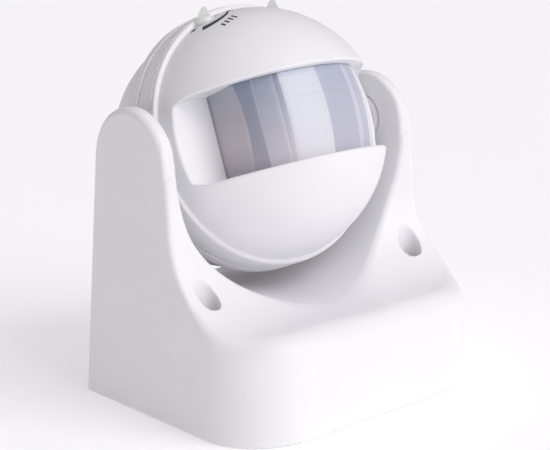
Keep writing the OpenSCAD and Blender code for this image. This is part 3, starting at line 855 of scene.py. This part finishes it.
def turn_about_z(tree, axes):
    """Angle of a point about the head's upright axis, 0 straight ahead."""
    ahead = tree.nodes.new("ShaderNodeMath")
    ahead.operation = "MULTIPLY"
    ahead.inputs[1].default_value = -1.0
    tree.links.new(axes["Y"], ahead.inputs[0])
    turn = tree.nodes.new("ShaderNodeMath")
    turn.operation = "ARCTAN2"
    tree.links.new(axes["X"], turn.inputs[0])
    tree.links.new(ahead.outputs["Value"], turn.inputs[1])
    return turn.outputs["Value"]


def facet_stops(tones):
    """One flat painted brightness for each facet, with a thin painted highlight along each border."""
    half_line = 0.0022
    stops = [(0.0, tones[0])]
    for x, left, right in zip(FACETS[1:-1], tones[:-1], tones[1:]):
        spot = (math.asin(x / LENS_R) / LENS_REACH + 1) / 2
        # painted highlight along the border, lighter than the facets on both sides
        line = tuple(min(1.0, 0.1 + 0.5 * (m + n)) for m, n in zip(left, right))
        stops.append((spot - half_line, line))
        stops.append((spot + half_line, right))
    return stops


def lens_painted_shading(tree, axes):
    """Painted light and shade: a flat painted brightness for each facet by angle, blended by height on the
    face, and painted shade on the plain ends where the lens is cut straight.
    """
    across = share(tree, turn_about_z(tree, axes), LENS_REACH).outputs["Result"]
    up = share(tree, axes["Z"], LENS_HALF_H * MM).outputs["Result"]
    width = share(tree, axes["X"], LENS_HALF_W * MM).outputs["Result"]
    # painted light and shade, one flat brightness for each facet, at the foot and at the top
    foot = ramp(tree, across, facet_stops(FOOT_FACET_SHADING), "CONSTANT")
    top = ramp(tree, across, facet_stops(TOP_FACET_SHADING), "CONSTANT")
    face = blend(tree, up, foot.outputs["Color"], top.outputs["Color"])
    # painted shade on the cut ends, darkest at the top
    end = ramp(tree, up, END_WALL_SHADE)
    at_end = ramp(tree, width, [(0.0, (1, 1, 1)), (0.003, (0, 0, 0)), (0.997, (1, 1, 1))], "CONSTANT")
    return blend(tree, at_end.outputs["Color"], face.outputs["Result"], end.outputs["Color"])


def lens_material():
    """Milky lens with painted light and shade: each upright facet has its own painted brightness for the way
    it catches the light, painted shade darker to the left, painted warm light low down.
    """
    mat, tree, shader = nodes_of("lens_facets_painted_shading")
    coords = tree.nodes.new("ShaderNodeTexCoord")
    colour = lens_painted_shading(tree, head_axes(tree, coords))
    tree.links.new(colour.outputs["Result"], shader.inputs["Base Color"])
    rings = tree.nodes.new("ShaderNodeTexWave")
    rings.wave_type = "BANDS"
    rings.bands_direction = "Z"
    rings.inputs["Scale"].default_value = 500
    rings.inputs["Distortion"].default_value = 1.5
    tree.links.new(coords.outputs["Object"], rings.inputs["Vector"])
    bump(tree, rings.outputs["Fac"], shader, 0.25, 40)
    shader.inputs["Roughness"].default_value = 0.42
    return mat


# The finish of each material slot of the record; the lens has its own
FINISHES = {
    "white_plastic": dict(name="white_satin", colour=(0.90, 0.895, 0.92), rough=0.45),
    "plate_plastic": dict(name="plate_matt", colour=(0.80, 0.80, 0.81), rough=0.55, grain=40),
    "seal_rubber": dict(name="black_rubber", colour=(0.030, 0.030, 0.032), rough=0.75, grain=60, mottle=0.10),
    "washer_rubber": dict(name="washer_white", colour=(0.78, 0.78, 0.80), rough=0.5, grain=40, mottle=0.05),
    "screw_steel": dict(name="zinc_steel", colour=(0.60, 0.60, 0.62), rough=0.32,
                        grain=10, mottle=0.06, metal=1.0),
    "clamp_brass": dict(name="brass", colour=(0.72, 0.52, 0.22), rough=0.30,
                        grain=10, mottle=0.06, metal=1.0),
    "terminal_plastic": dict(name="terminal_cream", colour=(0.80, 0.79, 0.72), rough=0.5),
    "bush_plastic": dict(name="bush_nylon", colour=(0.80, 0.80, 0.78), rough=0.45),
    "lead_sheath": dict(name="lead_red", colour=(0.36, 0.04, 0.03), rough=0.4),
    "knob_plastic": dict(name="knob_milky", colour=(0.84, 0.85, 0.84), rough=0.30, coat=0.3),
    "board_laminate": dict(name="board", colour=(0.40, 0.28, 0.09), rough=0.4, grain=30, mottle=0.08),
    "sensor_can": dict(name="sensor_can", colour=(0.66, 0.66, 0.66), rough=0.28,
                       grain=10, mottle=0.05, metal=1.0),
    "sensor_window": dict(name="sensor_window", colour=(0.02, 0.015, 0.02), rough=0.12),
    "cell_resin": dict(name="light_cell", colour=(0.55, 0.24, 0.08), rough=0.25),
    "led_resin": dict(name="led_red", colour=(0.60, 0.02, 0.02), rough=0.12),
    "relay_case": dict(name="relay_blue", colour=(0.03, 0.10, 0.30), rough=0.3),
    "film_case": dict(name="film_yellow", colour=(0.60, 0.45, 0.06), rough=0.3),
    "capacitor_sleeve": dict(name="sleeve_navy", colour=(0.02, 0.02, 0.06), rough=0.25),
    "chip_resin": dict(name="chip_black", colour=(0.02, 0.02, 0.02), rough=0.55),
    "resistor_lacquer": dict(name="resistor_tan", colour=(0.50, 0.36, 0.20), rough=0.35),
    "varistor_lacquer": dict(name="varistor_blue", colour=(0.05, 0.18, 0.40), rough=0.3),
    "trimmer_case": dict(name="trimmer_blue", colour=(0.04, 0.12, 0.36), rough=0.45),
}
MATERIALS = {}


def material_for(slot):
    """The slot's material, made when it is first asked for."""
    if slot not in MATERIALS:
        MATERIALS[slot] = lens_material() if slot == "lens_plastic" else plastic(**FINISHES[slot])
    return MATERIALS[slot]


def finish_piece(obj, body, slot, *replaced, material=None):
    obj.data.materials.clear()
    obj.data.materials.append(material or material_for(slot))
    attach(obj, body)
    for node in replaced:
        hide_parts(node)


def carried_nodes():
    """Every CAD node gets its slot's finish."""
    slots = {s["node"]: s["material_slot"] for s in frame["record"]["subparts"]}
    for name, obj in frame["nodes"].items():
        mat = material_for(slots[name])
        if not obj.material_slots:
            obj.data.materials.append(mat)
        for s in obj.material_slots:
            s.material = mat


# ---------- the pieces ----------

def build_pieces():
    carried_nodes()
    finish_piece(yoke_piece(), "base", "white_plastic", "base_housing")
    finish_piece(front_piece(), "head", "white_plastic", "head_front_shell")
    finish_piece(rear_piece(), "head", "white_plastic", "head_rear_shell")
    finish_piece(seam_bead(), "head", "white_plastic")
    finish_piece(lens_piece(), "head", "lens_plastic", "fresnel_lens")
    finish_piece(knob_piece("lux_dial_knob", -1), "lux_dial", "knob_plastic", "lux_knob")
    finish_piece(knob_piece("time_dial_knob", 1), "time_dial", "knob_plastic", "time_knob")
    ink = plastic("ink", (0.035, 0.035, 0.045), 0.5, grain=10, mottle=0.2)
    finish_piece(printed_marks(), "head", "white_plastic", material=ink)


# ---------- camera, light and floor ----------

CAMERA_AT = (-222.57, -277.42, 125.35)
CAMERA_BACK = (-0.6065, -0.7619, 0.2274)
CAMERA_ROLL = -2.95
CAMERA_LENS, CAMERA_SENSOR = 93.8, 36.0


def aim(obj, back, roll=0.0):
    """Turns an object to look against the direction back, rolled about that line."""
    back = Vector(back).normalized()
    right = Vector((0, 0, 1)).cross(back).normalized()
    up = back.cross(right)
    c, s = math.cos(roll), math.sin(roll)
    right, up = right * c + up * s, up * c - right * s
    m = Matrix((right, up, back)).transposed().to_4x4()
    m.translation = obj.location
    obj.matrix_world = m


def camera():
    data = bpy.data.cameras.new("camera")
    data.sensor_width = CAMERA_SENSOR
    data.lens = CAMERA_LENS
    data.clip_start = 0.01
    obj = bpy.data.objects.new("camera", data)
    bpy.context.scene.collection.objects.link(obj)
    obj.location = Vector(CAMERA_AT) * MM
    aim(obj, CAMERA_BACK, math.radians(CAMERA_ROLL))
    bpy.context.scene.camera = obj


def sun(name, direction, strength, spread_deg, colour):
    """Even light from one side, soft as from a wide panel, the same all over the floor."""
    data = bpy.data.lights.new(name, "SUN")
    data.energy = strength
    data.angle = math.radians(spread_deg)
    data.color = colour
    obj = bpy.data.objects.new(name, data)
    bpy.context.scene.collection.objects.link(obj)
    obj.location = Vector(direction)
    aim(obj, direction)


def floor_material():
    """Nearly white, with a faint glow of its own that stands for light from the walls."""
    white = plastic("floor_white", (0.93, 0.93, 0.935), 0.7, grain=0, mottle=0.004)
    shader = white.node_tree.nodes["Principled BSDF"]
    shader.inputs["Emission Color"].default_value = (1, 0.97, 1, 1)
    shader.inputs["Emission Strength"].default_value = 0.27
    return white


def floor():
    """A round floor whose far rim rises gently, so that no view shows its edge. Its sizes are metres."""
    sides = 64
    rings = ((5.0, 0.0), (7.0, 0.2), (9.0, 0.9))
    turns = [2 * math.pi * i / sides for i in range(sides)]
    verts = [(r * math.cos(a), r * math.sin(a), h) for r, h in rings for a in turns]
    faces = [tuple(range(sides))]
    for j in range(len(rings) - 1):
        here, beyond = j * sides, (j + 1) * sides
        for i in range(sides):
            k = (i + 1) % sides
            faces.append((here + i, beyond + i, beyond + k, here + k))
    mesh = bpy.data.meshes.new("floor")
    mesh.from_pydata(verts, [], faces)
    obj = bpy.data.objects.new("floor", mesh)
    bpy.context.scene.collection.objects.link(obj)
    obj.location.z = -0.2 * MM
    obj.data.materials.append(floor_material())


def studio():
    floor()
    sun("front", (0.22, -0.85, 0.56), 1.42, 46, (1.0, 0.995, 0.99))
    sun("top", (0.15, -0.10, 1.0), 0.85, 80, (0.99, 0.99, 1.0))
    world = bpy.data.worlds.new("studio")
    world.use_nodes = True
    sky = world.node_tree.nodes["Background"]
    sky.inputs["Color"].default_value = (0.97, 0.93, 1.0, 1)
    sky.inputs["Strength"].default_value = 0.22
    bpy.context.scene.world = world
    bpy.context.scene.view_settings.view_transform = "Standard"


camera()
studio()
build_pieces()
bpy.context.view_layer.update()
